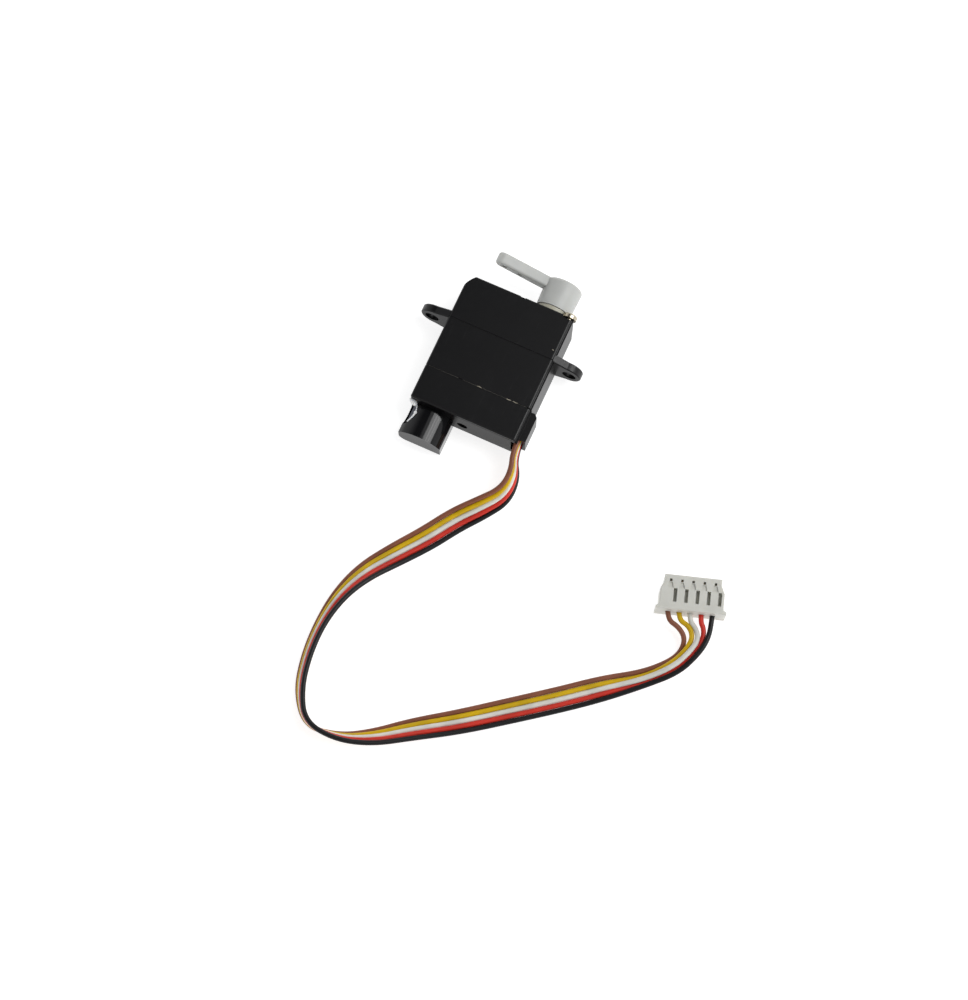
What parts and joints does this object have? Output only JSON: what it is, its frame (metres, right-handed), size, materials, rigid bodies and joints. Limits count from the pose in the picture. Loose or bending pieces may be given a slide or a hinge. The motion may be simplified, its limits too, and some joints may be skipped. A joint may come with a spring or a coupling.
{
  "type": "servo motor",
  "caption": "Sub-micro servo motor in a black three-shell case with tabs, a white single-arm horn on a geared output, and a ribbon cable ending in a white plug.",
  "frame": {"origin": "on the back face of the case, midway between the two tab holes, in the plane of the tabs' underside", "axes": "+X along the tabs, +Y up the output axis and the tab holes, +Z out of the front face; the servo rests on its back face at z = 0"},
  "size_m": [0.0459, 0.0588, 0.0053],
  "materials": {
    "case_plastic": "satin black moulded plastic",
    "cover_plastic": "glossy black moulded plastic",
    "horn_nylon": "translucent white nylon",
    "gear_nylon": "cream nylon",
    "screw_steel": "warm-toned plated steel",
    "bright_steel": "bright steel",
    "magnet": "dark sintered magnet",
    "copper": "copper winding",
    "contact_brass": "brass contact",
    "cap_plastic": "off-white moulded plastic",
    "board": "brown laminate board",
    "track": "printed carbon track",
    "solder": "bright solder",
    "wire_brown": "brown wire sheath",
    "wire_yellow": "yellow wire sheath",
    "wire_white": "white wire sheath",
    "wire_red": "red wire sheath",
    "wire_black": "black wire sheath",
    "connector_nylon": "warm white moulded nylon"
  },
  "bodies": {
    "case": {"bottom_case": "case_plastic", "case_screw_bottom": "screw_steel", "case_screw_top": "screw_steel", "connector_housing": "connector_nylon", "connector_terminals": "contact_brass", "gear_axle_a": "bright_steel", "gear_axle_b": "bright_steel", "mid_case": "case_plastic", "motor_brushes": "contact_brass", "motor_can": "bright_steel", "motor_cover": "cover_plastic", "motor_end_cap": "cap_plastic", "motor_leads": "contact_brass", "motor_magnets": "magnet", "output_bushing": "gear_nylon", "pot_body": "track", "pot_terminals": "contact_brass", "pot_track": "track", "solder_joints": "solder", "terminal_board": "board", "top_case": "case_plastic", "wire_black": "wire_black", "wire_brown": "wire_brown", "wire_red": "wire_red", "wire_white": "wire_white", "wire_yellow": "wire_yellow"},
    "output": {"output_gear": "gear_nylon", "horn": "horn_nylon", "horn_screw": "screw_steel", "pot_wiper": "contact_brass"},
    "gear_fourth": {"gear_fourth": "gear_nylon"},
    "gear_third": {"gear_third": "gear_nylon"},
    "gear_second": {"gear_second": "gear_nylon"},
    "gear_first": {"gear_first": "gear_nylon"},
    "rotor": {"motor_shaft": "bright_steel", "motor_pinion": "contact_brass", "motor_armature": "copper", "motor_commutator": "contact_brass"}
  },
  "joints": [
    {"name": "output_turn", "type": "hinge", "parent": "case", "child": "output", "pos_m": [0.0038, 0.003, 0.00255], "axis": [0, 1, 0], "range_deg": [-75, 45]},
    {"name": "gear_fourth_turn", "type": "hinge", "parent": "case", "child": "gear_fourth", "pos_m": [0.00126, 0.003, 0.00255], "axis": [0, 1, 0], "range_deg": [-59, 97]},
    {"name": "gear_third_turn", "type": "hinge", "parent": "case", "child": "gear_third", "pos_m": [-0.00128, 0.003, 0.00255], "axis": [0, 1, 0], "range_deg": [-304, 183]},
    {"name": "gear_second_turn", "type": "hinge", "parent": "case", "child": "gear_second", "pos_m": [0.00126, 0.003, 0.00255], "axis": [0, 1, 0], "range_deg": [-576, 959]},
    {"name": "gear_first_turn", "type": "hinge", "parent": "case", "child": "gear_first", "pos_m": [-0.00128, 0.003, 0.00255], "axis": [0, 1, 0], "range_deg": [-3033, 1820]},
    {"name": "rotor_turn", "type": "hinge", "parent": "case", "child": "rotor", "pos_m": [-0.00375, 0.003, 0.00195], "axis": [0, 1, 0], "range_deg": [-5761, 9600]}
  ],
  "couplings": [
    {"joint": "gear_fourth_turn", "follows": "output_turn", "ratio": -1.2727},
    {"joint": "gear_third_turn", "follows": "output_turn", "ratio": 4.0303},
    {"joint": "gear_second_turn", "follows": "output_turn", "ratio": -12.763},
    {"joint": "gear_first_turn", "follows": "output_turn", "ratio": 40.415},
    {"joint": "rotor_turn", "follows": "output_turn", "ratio": -127.98}
  ]
}
